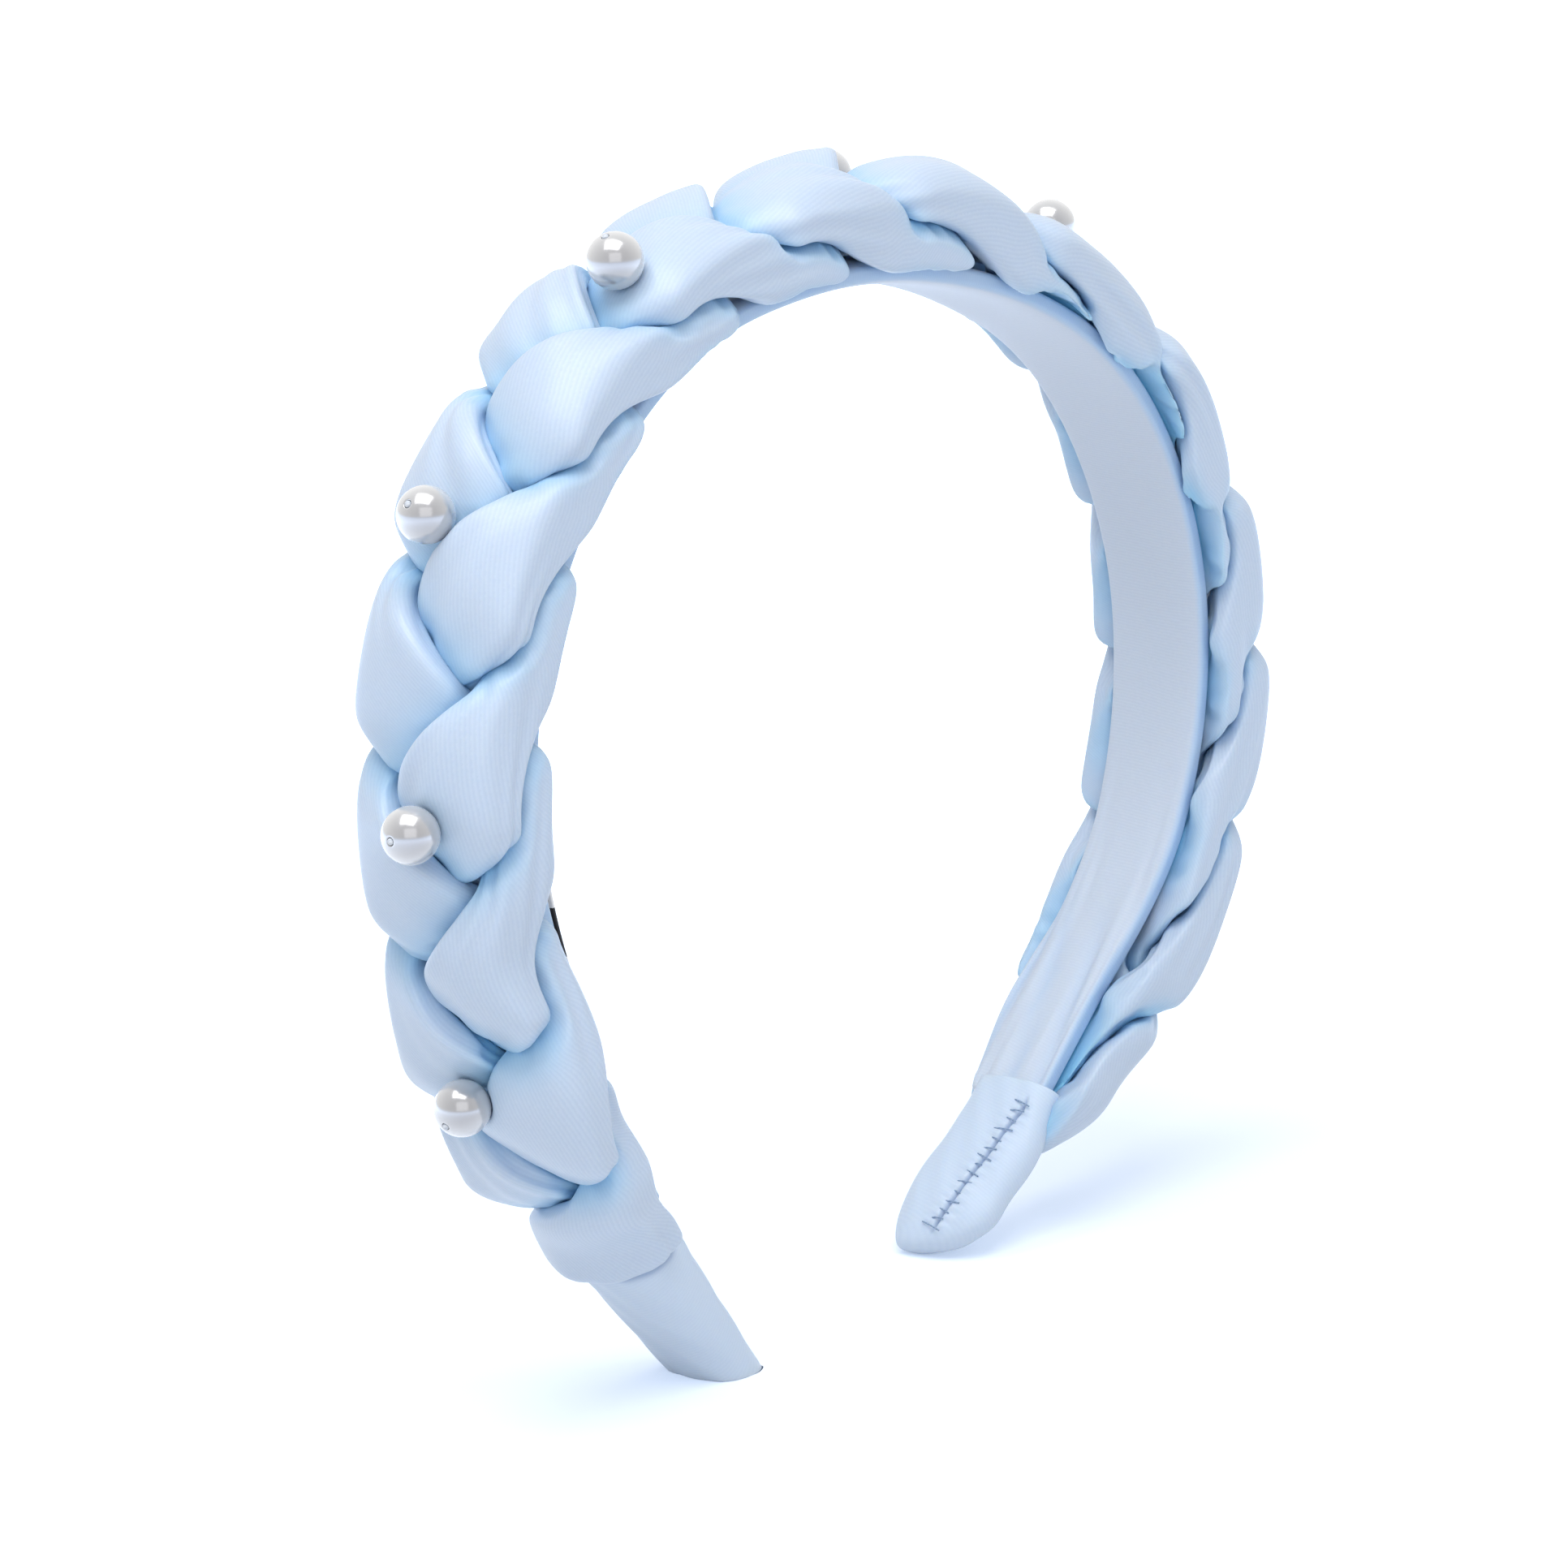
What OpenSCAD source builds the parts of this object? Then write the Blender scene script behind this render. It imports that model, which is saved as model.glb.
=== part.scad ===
// Braided satin headband with sewn-on pearls.
// X runs from ear to ear, Y across the band and Z up. The headband stands on its two tips at Z = 0.
// Every piece is laid out along the inner face of the band: s is the distance along it from the crown
// point, negative towards the left tip, y the distance across it and t the height above it, outwards.

/* [Hoop] */
// Length of the inner face from tip to tip
hoop_length = 380; // [374:1:386]
// Radius of the flat arc over the crown
crown_r = 100; // [96:1:104]
// Angle of the crown arc on each side of the crown point
crown_a = 18; // [17:0.5:19]
// Radius of the side arcs
side_r = 53; // [52:0.5:54]
// Angle of each side arc
side_a = 93; // [91:0.5:95]
// Radius of the arcs that lead into the straight tips
low_r = 76; // [72:1:80]
// Angle of each low arc
low_a = 18; // [17:0.5:19]
// How far the crown point sits off the middle of the length, so the left arm is the longer one
crown_offset = 4; // [3:0.5:5]

/* [Band] */
// Width of the covered band at the crown
band_w = 17; // [16:0.5:18]
// Width of the covered band at the tips
band_tip_w = 9.6; // [9:0.2:10]
// Thickness of the covered band
band_t = 3.2; // [3.1:0.1:3.3]
// Thickness of the springy core
core_t = 1.6; // [1.4:0.1:1.7]
// Wall of the lining sleeve
lining_wall = 0.6; // [0.5:0.05:0.65]

/* [Braid] */
// Distance from one lobe to the next along one edge of the braid
lobe_pitch = 20; // [19.5:0.25:20.5]
// How far the middle of a strand swings to either side
swing = 8.6; // [8.4:0.1:8.8]
// How far the middle of a strand rises and dips
rise = 3.2; // [3.1:0.05:3.3]
// Width of a strand
strand_w = 10; // [9.6:0.1:10.2]
// Thickness of a strand
strand_t = 4.2; // [4:0.05:4.3]

/* [Tips] */
// Length of a satin tip cap
cap_len = 26; // [25:0.5:27]
// Width of a cap at its mouth
cap_mouth_w = 16; // [15.5:0.25:16.5]
// Width of a cap before its rounded end
cap_end_w = 11.4; // [11.2:0.1:11.6]
// Thickness of a cap at its mouth
cap_mouth_t = 9.2; // [9:0.1:9.4]
// Thickness of a cap before its rounded end
cap_end_t = 4.8; // [4.6:0.1:5]
// Number of hand stitches along the seam of a cap
stitch_count = 18; // [12:1:20]

/* [Pearls] */
// Diameter of a pearl
pearl_d = 7; // [6.8:0.1:7]
// Diameter of the hole drilled through a pearl
pearl_bore = 1; // [1:0.05:1.1]
// Diameter of the sewing thread where it fills the hole
thread_d = 0.9; // [0.86:0.01:0.92]

/* [Label] */
// Length of the woven label along the band
label_len = 14; // [12:0.5:16]
// Distance of the label's middle from the crown point
label_s = -122; // [-126:1:-118]

/* [Flex] */
// Place along the band of the pivot that stands for the bending crown
pivot_s = -21; // [-22:0.5:-20]
// Radius of the round cut about that pivot
pivot_r = 15; // [14.8:0.1:15.2]
// Width of the round cut
pivot_gap = 0.3; // [0.3:0.05:0.4]

/* [Hidden] */

satin = "#c3d6ec";
lining_blue = "#c0cbde";
cap_blue = "#bfcde0";
core_white = "#e6e6e2";
pearl_white = "#f1f0ee";
thread_white = "#dde4ec";
label_white = "#f5f5f5";

// Height of the inner face's ends over the floor, and the shift that centres the whole headband on X = 0
tip_lift = 2;
hoop_shift = 2.33;

// Pearls from the left tip to the right one: s, y and t of each centre, just clear of the strands
pearls = [
    [-135.9, 1.7, 16.4], [-106.2, -1.4, 16.2], [-77.4, 2.5, 16.05], [-47.4, -3.9, 16.25], [0, 9, 13.3],
    [34.9, 2.2, 15.85], [60.5, 10, 12.95], [97.4, -2, 17.25], [120.5, 10, 13.05]
];
left_pearls = [0, 1, 2, 3];
right_pearls = [4, 5, 6, 7, 8];

// Arms as radius and angle, then straight to the tip
legs = [[crown_r, crown_a], [side_r, side_a], [low_r, low_a]];
s_left = -hoop_length / 2 - crown_offset;
s_right = hoop_length / 2 - crown_offset;

function arc_len(leg) = leg[0] * leg[1] * PI / 180;
// Direction of an arm, in degrees below the horizontal, at distance u from the crown point
function arm_dir(u, i = 0) =
    i == len(legs) ? 0 :
    u <= arc_len(legs[i]) ? u / legs[i][0] * 180 / PI :
    legs[i][1] + arm_dir(u - arc_len(legs[i]), i + 1);
// Place of a point at distance u along an arm
function arm_at(u, i = 0, a = 0, p = [0, 0]) =
    i == len(legs) ? p + u * [cos(a), -sin(a)] :
    let (
        r = legs[i][0],
        turn = min(legs[i][1], u / r * 180 / PI),
        q = p + r * [sin(a + turn) - sin(a), cos(a + turn) - cos(a)]
    )
    u <= arc_len(legs[i]) ? q : arm_at(u - arc_len(legs[i]), i + 1, a + turn, q);
function side_of(s) = s < 0 ? -1 : 1;
function raw_at(s) = let (p = arm_at(abs(s))) [side_of(s) * p[0], p[1]];

// The hoop is turned in its plane until both tips are level, then lifted on to the floor
tip_l = raw_at(s_left);
tip_r = raw_at(s_right);
level = -atan2(tip_r[1] - tip_l[1], tip_r[0] - tip_l[0]);
function turned(p) = [p[0] * cos(level) - p[1] * sin(level), p[0] * sin(level) + p[1] * cos(level)];
mid_x = (turned(raw_at(-80))[0] + turned(raw_at(80))[0]) / 2;
base_z = turned(tip_l)[1];
// Direction of the band at s, in degrees below the +X axis
function dir_at(s) = side_of(s) * arm_dir(abs(s)) - level;
// Point in space of the place s, y, t
function spot(s, y, t) =
    let (
        p = turned(raw_at(s)),
        a = dir_at(s)
    )
    [p[0] - mid_x + hoop_shift + t * sin(a), y, p[1] - base_z + tip_lift + t * cos(a)];

// Pivot of the bending crown, half way through the core
pivot = spot(pivot_s, 0, band_t / 2);
cut_reach = 60;

// Closed skin over a list of rings with equal counts, with capped ends or joined into a loop
module skin(rings, loop = false) {
    n = len(rings[0]);
    m = len(rings);
    last = loop ? m - 1 : m - 2;
    sides = [
        for (i = [0 : last], j = [0 : n - 1])
            let (
                k = (i + 1) % m,
                a = i * n + j,
                b = i * n + (j + 1) % n,
                c = k * n + (j + 1) % n,
                d = k * n + j
            )
            each [[a, b, c], [a, c, d]]
    ];
    ends = loop ? [] : [[for (j = [n - 1 : -1 : 0]) j], [for (j = [0 : n - 1]) (m - 1) * n + j]];
    points = [for (r = rings) each r];
    polyhedron(points, concat(sides, ends), convexity = 8);
}

// Stations from s0 to s1, no further apart than step
function stations(s0, s1, step) = let (n = ceil((s1 - s0) / step)) [for (i = [0 : n]) s0 + (s1 - s0) * i / n];
// Rounded flat section, w wide from t0 to t1, as points of y and t
section_sides = 12;
function root(v) = (v < 0 ? -1 : 1) * sqrt(abs(v));
function flat_section(w, t0, t1) = [
    for (j = [0 : section_sides - 1])
        let (q = 360 * j / section_sides)
        [w / 2 * root(cos(q)), (t0 + t1) / 2 + (t1 - t0) / 2 * root(sin(q))]
];
function ring_at(s, section) = [for (p = section) spot(s, p[0], p[1])];

// Width of the covered band along its length
function band_width(s) = band_w + (band_tip_w - band_w) * pow(abs(s) / (hoop_length / 2), 2);
band_step = 7;
fit_gap = 0.2;
// Ends of the core and the lining inside the caps
core_end = 4;
lining_end = 3;
// Stretches that reach past the round cut before it trims them
left_past = pivot_s - 8;
right_past = pivot_s - 18;
strand_past = 3.5;

// Trims a piece of the left arm outside the round cut, or one of the crown and right arm inside it
module left_of_cut() {
    difference() {
        children();
        translate(pivot) rotate([90, 0, 0])
            cylinder(r = pivot_r + pivot_gap, h = cut_reach, center = true, $fn = 96);
    }
}
module right_of_cut() {
    difference() {
        children();
        difference() {
            translate(pivot - [cut_reach / 2 + pivot_r / 3, 0, 0]) cube(cut_reach, center = true);
            translate(pivot) rotate([90, 0, 0])
                cylinder(r = pivot_r, h = cut_reach + 2, center = true, $fn = 96);
        }
    }
}

// Springy core: a thin flat strip
module core_strip(s0, s1) {
    mid = band_t / 2;
    less = 2 * lining_wall + 2 * fit_gap;
    color(core_white)
        skin([
            for (s = stations(s0, s1, band_step))
                ring_at(s, flat_section(band_width(s) - less, mid - core_t / 2, mid + core_t / 2))
        ]);
}
module core_left() { left_of_cut() core_strip(s_left + core_end, left_past); }
module core_right() { right_of_cut() core_strip(right_past, s_right - core_end); }

// Lining sleeve: satin drawn round the core
module lining_sleeve(s0, s1) {
    places = stations(s0, s1, band_step);
    outer = [for (s = places) ring_at(s, flat_section(band_width(s), 0, band_t))];
    inner = [
        for (i = [len(places) - 1 : -1 : 0])
            let (s = places[i])
            ring_at(s, flat_section(band_width(s) - 2 * lining_wall, lining_wall, band_t - lining_wall))
    ];
    color(lining_blue) skin(concat(outer, inner), loop = true);
}
module lining_left() { left_of_cut() lining_sleeve(s_left + lining_end, left_past); }
module lining_right() { right_of_cut() lining_sleeve(right_past, s_right - lining_end); }

// Braid: three strands that swing across, rise over and dip under each other a third of a turn apart
strand_period = 3 * lobe_pitch;
braid_phase = 101;
braid_gap = 0.3;
braid_mid = band_t + braid_gap + rise + strand_t / 2;
strand_step = 2.8;
strand_sides = 12;
taper_len = 24;
taper_to = 0.42;
s_braid_left = s_left + cap_len + braid_gap;
s_braid_right = s_right - cap_len - braid_gap;
function phase_at(s, k) = -360 * s / strand_period + braid_phase + 120 * k;
// Narrowing of the braid towards its ends
function taper_at(s) =
    let (u = min(1, min(s - s_braid_left, s_braid_right - s) / taper_len))
    taper_to + (1 - taper_to) * sin(90 * max(0, u));
function strand_y(s, k) = taper_at(s) * swing * cos(phase_at(s, k));
function strand_h(s, k) = taper_at(s) * rise * sin(2 * phase_at(s, k));
function strand_ring(s, k) =
    let (
        f = taper_at(s),
        low = band_t + braid_gap + f * (braid_mid - band_t - braid_gap),
        slope = f * swing * sin(phase_at(s, k)) * 2 * PI / strand_period,
        n = sqrt(1 + slope * slope)
    )
    [
        for (j = [0 : strand_sides - 1])
            let (
                q = 360 * j / strand_sides,
                lat = f * strand_w / 2 * cos(q),
                h = f * strand_t / 2 * sin(q)
            )
            spot(s - lat * slope / n, strand_y(s, k) + lat / n, low + strand_h(s, k) + h)
    ];
module strand(k, s0, s1) {
    color(satin) skin([for (s = stations(s0, s1, strand_step)) strand_ring(s, k)]);
}
module strand_left(k) { left_of_cut() strand(k, s_braid_left, left_past + strand_past); }
module strand_right(k) { right_of_cut() strand(k, right_past - 2 * strand_past, s_braid_right); }
module strand_a_left() { strand_left(0); }
module strand_b_left() { strand_left(1); }
module strand_c_left() { strand_left(2); }
module strand_a_right() { strand_right(0); }
module strand_b_right() { strand_right(1); }
module strand_c_right() { strand_right(2); }

// Tip cap: a satin pocket over the end of the band, rounded at its end and cut flat where it stands
cap_under = 0.7;
cap_over = 1.5;
cap_round = 4;
cap_steps = 6;
round_steps = 5;
foot_box = 80;
// Section of a cap at distance d from its mouth, shrunk by f towards its middle
function cap_section(d, f) =
    let (
        u = min(1, d / (cap_len - cap_round)),
        w = cap_mouth_w + (cap_end_w - cap_mouth_w) * u,
        thick = cap_mouth_t + (cap_end_t - cap_mouth_t) * u,
        mid = thick / 2 - cap_under
    )
    flat_section(w * f, mid - thick / 2 * f, mid + thick / 2 * f);
module tip_cap(side) {
    s_tip = side < 0 ? s_left : s_right;
    s_mouth = s_tip - side * cap_len;
    whole = cap_len + cap_over;
    body = [for (i = [0 : cap_steps]) i / cap_steps * (whole - cap_round)];
    outer = concat(
        [
            for (i = [1 : round_steps])
                let (q = 90 * (1 - i / (round_steps + 0.4)))
                ring_at(s_mouth + side * (whole - cap_round + cap_round * sin(q)), cap_section(whole, cos(q)))
        ],
        [for (i = [cap_steps : -1 : 0]) ring_at(s_mouth + side * body[i], cap_section(body[i], 1))]
    );
    room = fit_gap;
    s_end = s_tip - side * (lining_end - room);
    inner = [
        for (i = [0 : cap_steps])
            let (s = s_mouth + (s_end - s_mouth) * i / cap_steps)
            ring_at(s, flat_section(band_width(s) + 2 * room, -room, band_t + room))
    ];
    chain = concat(outer, inner);
    facing = [for (r = chain) side < 0 ? r : [for (j = [len(r) - 1 : -1 : 0]) r[j]]];
    color(cap_blue) difference() {
        skin(facing);
        translate([0, 0, -foot_box / 2]) cube([4 * foot_box, foot_box, foot_box], center = true);
    }
}
module tip_cap_left() { tip_cap(-1); }
module tip_cap_right() { tip_cap(1); }

// Hand stitches over the seam of a cap, along the near edge of its inner face
stitch_d = 0.4;
stitch_len = 2.2;
stitch_skew = 25;
seam_y = -3.2;
stitch_sink = 0.15;
seam_start = 1.5;
seam_end = 3.5;
module cap_stitches(side) {
    s_tip = side < 0 ? s_left : s_right;
    s_mouth = s_tip - side * cap_len;
    run = cap_len - seam_start - seam_end;
    color(thread_white)
        for (i = [0 : stitch_count - 1]) {
            s = s_mouth + side * (seam_start + run * i / (stitch_count - 1));
            translate(spot(s, seam_y, stitch_sink - cap_under)) rotate([0, dir_at(s), 0]) rotate([90, 0, stitch_skew])
                cylinder(d = stitch_d, h = stitch_len, center = true, $fn = 16);
        }
}
module cap_stitches_left() { cap_stitches(-1); }
module cap_stitches_right() { cap_stitches(1); }

// Pearls: drilled balls, each free to turn on the thread that holds it to the braid
module at_pearl(i) {
    p = pearls[i];
    translate(spot(p[0], p[1], p[2])) rotate([0, dir_at(p[0]), 0]) children();
}
module pearl(i) {
    color(pearl_white) at_pearl(i) difference() {
        sphere(d = pearl_d, $fn = 64);
        cylinder(d = pearl_bore, h = pearl_d + 1, center = true, $fn = 32);
    }
}
module pearl_1() { pearl(0); }
module pearl_2() { pearl(1); }
module pearl_3() { pearl(2); }
module pearl_4() { pearl(3); }
module pearl_5() { pearl(4); }
module pearl_6() { pearl(5); }
module pearl_7() { pearl(6); }
module pearl_8() { pearl(7); }
module pearl_9() { pearl(8); }

// Thread of one pearl: a stalk from the braid through the hole and a small knot on top
knot_d = 1.5;
knot_lift = 0.9;
stalk_root = 3.2;
module pearl_thread(i) {
    top = pearl_d / 2 + knot_lift;
    below = pearl_d / 2 + stalk_root;
    at_pearl(i) {
        translate([0, 0, -below]) cylinder(d = thread_d, h = below + top, $fn = 24);
        translate([0, 0, top]) sphere(d = knot_d, $fn = 24);
    }
}
module pearl_threads_left() { color(thread_white) for (i = left_pearls) pearl_thread(i); }
module pearl_threads_right() { color(thread_white) for (i = right_pearls) pearl_thread(i); }

// Woven label on the inner face of the left arm
label_t = 0.5;
label_gap = 0.2;
label_margin = 1;
label_step = 3;
module label() {
    s0 = label_s - label_len / 2;
    s1 = label_s + label_len / 2;
    color(label_white)
        skin([
            for (s = stations(s0, s1, label_step))
                ring_at(s, flat_section(band_width(s) - 2 * label_margin, -label_gap - label_t, -label_gap))
        ]);
}

core_left();
core_right();
lining_left();
lining_right();
strand_a_left();
strand_b_left();
strand_c_left();
strand_a_right();
strand_b_right();
strand_c_right();
tip_cap_left();
tip_cap_right();
cap_stitches_left();
cap_stitches_right();
pearl_1();
pearl_2();
pearl_3();
pearl_4();
pearl_5();
pearl_6();
pearl_7();
pearl_8();
pearl_9();
pearl_threads_left();
pearl_threads_right();
label();
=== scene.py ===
# %% [markdown]
# # A braided satin headband with pearls
# The real headband is a springy hoop: a thin flexible core in a satin sleeve, three padded satin strands
# plaited along its outside, pearls sewn into the plait and a stitched satin cap over each tip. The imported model
# fixes where every part sits and how it moves. This lesson dresses that frame with cloth, thread and pearl.

# %% Load the frame
import bpy
import numpy as np
from mathutils import Matrix, Vector


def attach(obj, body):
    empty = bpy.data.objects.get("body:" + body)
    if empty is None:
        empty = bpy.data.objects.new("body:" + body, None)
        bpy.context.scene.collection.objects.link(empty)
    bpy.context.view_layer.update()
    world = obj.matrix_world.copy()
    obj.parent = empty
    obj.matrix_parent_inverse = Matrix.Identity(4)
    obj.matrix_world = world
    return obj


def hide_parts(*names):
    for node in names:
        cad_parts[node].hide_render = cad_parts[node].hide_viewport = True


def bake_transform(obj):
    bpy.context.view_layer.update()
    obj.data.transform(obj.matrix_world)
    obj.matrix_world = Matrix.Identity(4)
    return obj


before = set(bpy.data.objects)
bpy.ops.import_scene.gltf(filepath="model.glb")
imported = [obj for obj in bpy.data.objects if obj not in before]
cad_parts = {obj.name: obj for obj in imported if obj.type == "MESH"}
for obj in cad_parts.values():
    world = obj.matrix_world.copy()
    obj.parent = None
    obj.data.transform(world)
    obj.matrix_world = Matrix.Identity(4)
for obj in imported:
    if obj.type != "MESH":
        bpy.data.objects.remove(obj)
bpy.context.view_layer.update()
scene = bpy.context.scene
scene.view_settings.view_transform = "Standard"
MM = 0.001

# %% [markdown]
# ## The camera
# A long lens about 0.6 m away, a little above the crown, looks at the outside of the left arm and the inside of
# the right one. The camera is placed by its own three axes, so nothing has to be aimed by eye.

# %% Camera
PICTURE_PX, FOCAL_PX, SENSOR_MM = 1932, 5895.3, 36
EYE = np.array([-469.11, -381.43, 205.30]) * MM
RIGHT_AXIS = np.array([0.63487, -0.77144, -0.04258])
UP_AXIS = np.array([0.19528, 0.10690, 0.97490])
LOOK_AXIS = np.array([0.74753, 0.62725, -0.21852])
camera_data = bpy.data.cameras.new("camera")
camera_data.sensor_width = SENSOR_MM
camera_data.lens = FOCAL_PX / PICTURE_PX * SENSOR_MM
camera_data.clip_start = 0.01
camera = bpy.data.objects.new("camera", camera_data)
placed = np.eye(4)
placed[:3] = np.stack([RIGHT_AXIS, UP_AXIS, -LOOK_AXIS, EYE], -1)
camera.matrix_world = Matrix(placed.tolist())
scene.collection.objects.link(camera)
scene.camera = camera
print("lens", round(camera_data.lens, 2), "mm")

# %% [markdown]
# ## Laying out the hoop
# Every piece follows the inner face of the band. A place is given by s, the distance along that face from the
# crown point (negative towards the left tip), y across the band and t outwards from the face. Three arcs and a
# straight make each arm; the left arm is the longer one, and the hoop is turned until both tips stand level.

# %% Hoop layout
ARCS = [(100.0, 18.0), (53.0, 93.0), (76.0, 18.0)]  # radius and degrees of each arc, from the crown down
S_LEFT, S_RIGHT, S_SHOULDER = -194.0, 186.0, 80.0
BAND_W, BAND_TIP_W, BAND_T, BAND_HALF = 17.0, 9.6, 3.2, 190.0
TIP_LIFT, HOOP_SHIFT = 2.0, 2.33
PULL_LEFT, PULL_RIGHT = 2.0, 2.4


def arm_path(u):
    """Place and heading of points at distance u down an arm: each arc turns the heading evenly, then it runs
    straight."""
    x, z, a = np.zeros_like(u), np.zeros_like(u), np.zeros_like(u)
    left = u.copy()
    for radius, degrees in ARCS:
        turn = np.clip(left / radius, 0, np.radians(degrees))
        x += radius * (np.sin(a + turn) - np.sin(a))
        z += radius * (np.cos(a + turn) - np.cos(a))
        a += turn
        left = np.maximum(left - radius * np.radians(degrees), 0)
    return x + left * np.cos(a), z - left * np.sin(a), a


def raw_place(s):
    """Both arms in one: the right arm as it comes, the left one mirrored."""
    x, z, a = arm_path(np.abs(s))
    side = np.where(s < 0, -1.0, 1.0)
    return side * x, z, side * a


tip_x, tip_z, _ = raw_place(np.array([S_LEFT, S_RIGHT]))
LEVEL = -np.arctan2(tip_z[1] - tip_z[0], tip_x[1] - tip_x[0])


def turn_level(x, z):
    """Turns points in the plane of the hoop until its tips are level."""
    return x * np.cos(LEVEL) - z * np.sin(LEVEL), x * np.sin(LEVEL) + z * np.cos(LEVEL)


shoulder_x, shoulder_z, _ = raw_place(np.array([-S_SHOULDER, S_SHOULDER]))
MID_X = turn_level(shoulder_x, shoulder_z)[0].mean()
BASE_Z = turn_level(tip_x, tip_z)[1][0]


def heading(s):
    """Heading of the band at s, in radians below the X axis."""
    return raw_place(np.asarray(s, float))[2] - LEVEL


def spot(s, y, t):
    """Points in space, in millimetres, of places s, y, t: t goes out along the normal of the inner face."""
    s, y, t = np.broadcast_arrays(*(np.asarray(v, float) for v in (s, y, t)))
    x, z, a = raw_place(s)
    x, z = turn_level(x, z)
    a = a - LEVEL
    return np.stack([x - MID_X + HOOP_SHIFT + t * np.sin(a), y, z - BASE_Z + TIP_LIFT + t * np.cos(a)], -1)


def band_width(s):
    """Width of the covered band, falling off with the square of the distance from the crown."""
    return BAND_W + (BAND_TIP_W - BAND_W) * (np.abs(s) / BAND_HALF) ** 2


def ramp(x, start, length):
    """Smooth step 3u^2 - 2u^3: 0 up to start, 1 from start + length on."""
    u = np.clip((x - start) / length, 0, 1)
    return u * u * (3 - 2 * u)


def hump(x, middle, reach):
    """Smooth swell of height 1 at middle, a bell curve that falls off over reach."""
    return np.exp(-((x - middle) / reach) ** 2)


def band_shift(s):
    """How far the sleeve is pulled across low on each arm, where its cap and the last wrap draw it."""
    left = PULL_LEFT * ramp(-s, 124, 22) * (1 - ramp(-s, 168, 26))
    return PULL_RIGHT * ramp(s, 116, 28) + left


print("tips at x", np.round(spot(np.array([S_LEFT, S_RIGHT]), 0, 0)[:, 0], 2).tolist(), "mm")

# %% [markdown]
# ## From a grid of points to a mesh
# Every soft piece here is a tube: rings of points one after the other. One helper turns such a grid into quads,
# closes the two ends, makes the faces point outwards and lays a map on the cloth in millimetres, along the
# piece and round it, so a weave can follow the cloth.


# %% Grid to mesh
def outward(points, faces):
    """Turns quads over if the volume they enclose, summed as slices to the origin, comes out negative."""
    a, b, c, d = (points[faces[:, corner]] for corner in range(4))
    slices = np.einsum("ij,ij->i", a, np.cross(b, c)) + np.einsum("ij,ij->i", a, np.cross(c, d))
    return faces if slices.sum() > 0 else faces[:, ::-1]


def add_piece(name, points, faces):
    """Smooth mesh object of points in mm, linked into the scene."""
    mesh = bpy.data.meshes.new(name)
    mesh.from_pydata((points * MM).tolist(), [], faces)
    mesh.polygons.foreach_set("use_smooth", np.ones(len(mesh.polygons), bool))
    mesh.update()
    piece = bpy.data.objects.new(name, mesh)
    scene.collection.objects.link(piece)
    return piece


def tube(name, rings, along=None):
    """Mesh object of rings[n, m, 3] in mm, closed round each ring and at both ends with fans to a pole."""
    n, m = rings.shape[:2]
    points = np.concatenate([rings.reshape(-1, 3), rings[0].mean(0)[None], rings[-1].mean(0)[None]])
    i, j = np.arange(n - 1)[:, None], np.arange(m)[None, :]
    k = (j + 1) % m
    quads = np.broadcast_arrays(i * m + j, i * m + k, (i + 1) * m + k, (i + 1) * m + j)
    quads = np.stack(quads, -1).reshape(-1, 4)
    row, next_row = i * (m + 1), (i + 1) * (m + 1)
    corners = np.broadcast_arrays(row + j, row + j + 1, next_row + j + 1, next_row + j)
    corners = np.stack(corners, -1).reshape(-1, 4)
    ring = np.arange(m)
    first = np.stack([np.full(m, n * m), np.roll(ring, -1), ring], -1)
    last = np.stack([np.full(m, n * m + 1), (n - 1) * m + ring, (n - 1) * m + np.roll(ring, -1)], -1)
    first_map = np.stack([ring, ring + 1, ring], -1)
    fans = np.concatenate([first, last])
    fan_map = np.concatenate([first_map, first_map + (n - 1) * (m + 1)])
    turned = outward(points, quads)
    if turned is not quads:
        corners, fans, fan_map = corners[:, ::-1], fans[:, ::-1], fan_map[:, ::-1]
    piece = add_piece(name, points, turned.tolist() + fans.tolist())
    step = np.linalg.norm(np.roll(rings, -1, 1) - rings, axis=-1)
    around = np.concatenate([np.zeros((n, 1)), np.cumsum(step, 1)], 1)
    around -= around[:, m // 4][:, None]
    if along is None:
        along = np.cumsum(np.linalg.norm(np.diff(rings.mean(1), axis=0), axis=-1))
        along = np.concatenate([[0], along])
    cloth = np.stack([np.repeat(along[:, None], m + 1, 1), around], -1).reshape(-1, 2)
    cloth = cloth[np.concatenate([corners.ravel(), fan_map.ravel()])].astype(np.float32)
    piece.data.uv_layers.new(name="cloth").data.foreach_set("uv", cloth.ravel())
    return piece


def set_painted_shade(piece, values):
    """Stores how much painted shade each point of a tube gets, by how far it is tucked in against other cloth; its
    two poles get 0.
    """
    values = np.append(values.ravel(), [0.0, 0.0]).astype(np.float32)
    piece.data.attributes.new("painted_shade", "FLOAT", "POINT").data.foreach_set("value", values)


def flat_ring(width, low, high, sides=64, square=0.5):
    """Rounded flat section: cosine and sine of an even sweep, each raised to the power square, give y and t."""
    q = np.linspace(0, 2 * np.pi, sides, endpoint=False)
    across, up = (np.sign(v) * np.abs(v) ** square for v in (np.cos(q), np.sin(q)))
    width, low, high = (np.asarray(v)[..., None] for v in (width, low, high))
    return width / 2 * across, (low + high) / 2 + (high - low) / 2 * up


print("helpers ready")

# %% [markdown]
# ## Building materials
# Each material is a small tree of nodes round one principled shader. A few helpers add a node, link its inputs
# and turn a display colour into the linear colour that a shader takes.


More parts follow.
